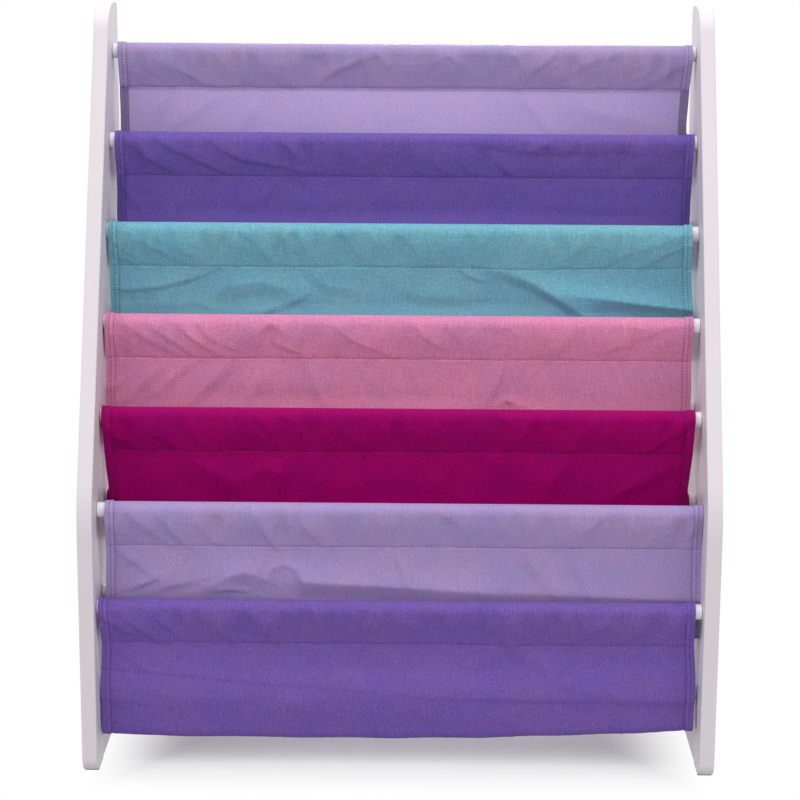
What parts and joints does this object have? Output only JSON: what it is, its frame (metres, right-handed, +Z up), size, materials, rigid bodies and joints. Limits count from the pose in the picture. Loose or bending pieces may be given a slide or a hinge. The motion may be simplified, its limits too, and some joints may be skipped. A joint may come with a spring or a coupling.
{
  "type": "sling bookshelf",
  "caption": "Child's book rack: two leaning-front white side panels joined by round dowels, with coloured cloth slings hung one above another to hold books face out.",
  "frame": {"origin": "on the floor, under the middle of the rack's overall box", "axes": "+X across the rack to the right as seen from the front, +Y from front to back, +Z up"},
  "size_m": [0.62, 0.276, 0.736],
  "materials": {
    "panel_paint": "fibreboard with white semi-gloss paint",
    "dowel_paint": "round wood with white semi-gloss paint",
    "lavender_cloth": "plain-weave polyester, slight sheen",
    "purple_cloth": "plain-weave polyester, slight sheen",
    "turquoise_cloth": "plain-weave polyester, slight sheen",
    "pink_cloth": "plain-weave polyester, slight sheen",
    "magenta_cloth": "plain-weave polyester, slight sheen",
    "screw_steel": "zinc-plated",
    "pad_rubber": "matt"
  },
  "bodies": {
    "root": {"left_side_panel": "panel_paint", "right_side_panel": "panel_paint", "left_front_foot_pad": "pad_rubber", "left_rear_foot_pad": "pad_rubber", "right_front_foot_pad": "pad_rubber", "right_rear_foot_pad": "pad_rubber", "sling_1": "lavender_cloth", "sling_2": "purple_cloth", "sling_3": "turquoise_cloth", "sling_4": "pink_cloth", "sling_5": "magenta_cloth", "sling_6": "lavender_cloth", "sling_7": "purple_cloth", "front_dowel_1": "dowel_paint", "front_dowel_2": "dowel_paint", "front_dowel_3": "dowel_paint", "front_dowel_4": "dowel_paint", "front_dowel_5": "dowel_paint", "front_dowel_6": "dowel_paint", "front_dowel_7": "dowel_paint", "rear_dowel_1": "dowel_paint", "rear_dowel_2": "dowel_paint", "rear_dowel_3": "dowel_paint", "rear_dowel_4": "dowel_paint", "rear_dowel_5": "dowel_paint", "rear_dowel_6": "dowel_paint", "rear_dowel_7": "dowel_paint", "front_dowel_1_screw_left": "screw_steel", "front_dowel_1_screw_right": "screw_steel", "front_dowel_2_screw_left": "screw_steel", "front_dowel_2_screw_right": "screw_steel", "front_dowel_3_screw_left": "screw_steel", "front_dowel_3_screw_right": "screw_steel", "front_dowel_4_screw_left": "screw_steel", "front_dowel_4_screw_right": "screw_steel", "front_dowel_5_screw_left": "screw_steel", "front_dowel_5_screw_right": "screw_steel", "front_dowel_6_screw_left": "screw_steel", "front_dowel_6_screw_right": "screw_steel", "front_dowel_7_screw_left": "screw_steel", "front_dowel_7_screw_right": "screw_steel", "rear_dowel_1_screw_left": "screw_steel", "rear_dowel_1_screw_right": "screw_steel", "rear_dowel_2_screw_left": "screw_steel", "rear_dowel_2_screw_right": "screw_steel", "rear_dowel_3_screw_left": "screw_steel", "rear_dowel_3_screw_right": "screw_steel", "rear_dowel_4_screw_left": "screw_steel", "rear_dowel_4_screw_right": "screw_steel", "rear_dowel_5_screw_left": "screw_steel", "rear_dowel_5_screw_right": "screw_steel", "rear_dowel_6_screw_left": "screw_steel", "rear_dowel_6_screw_right": "screw_steel", "rear_dowel_7_screw_left": "screw_steel", "rear_dowel_7_screw_right": "screw_steel"}
  },
  "joints": []
}
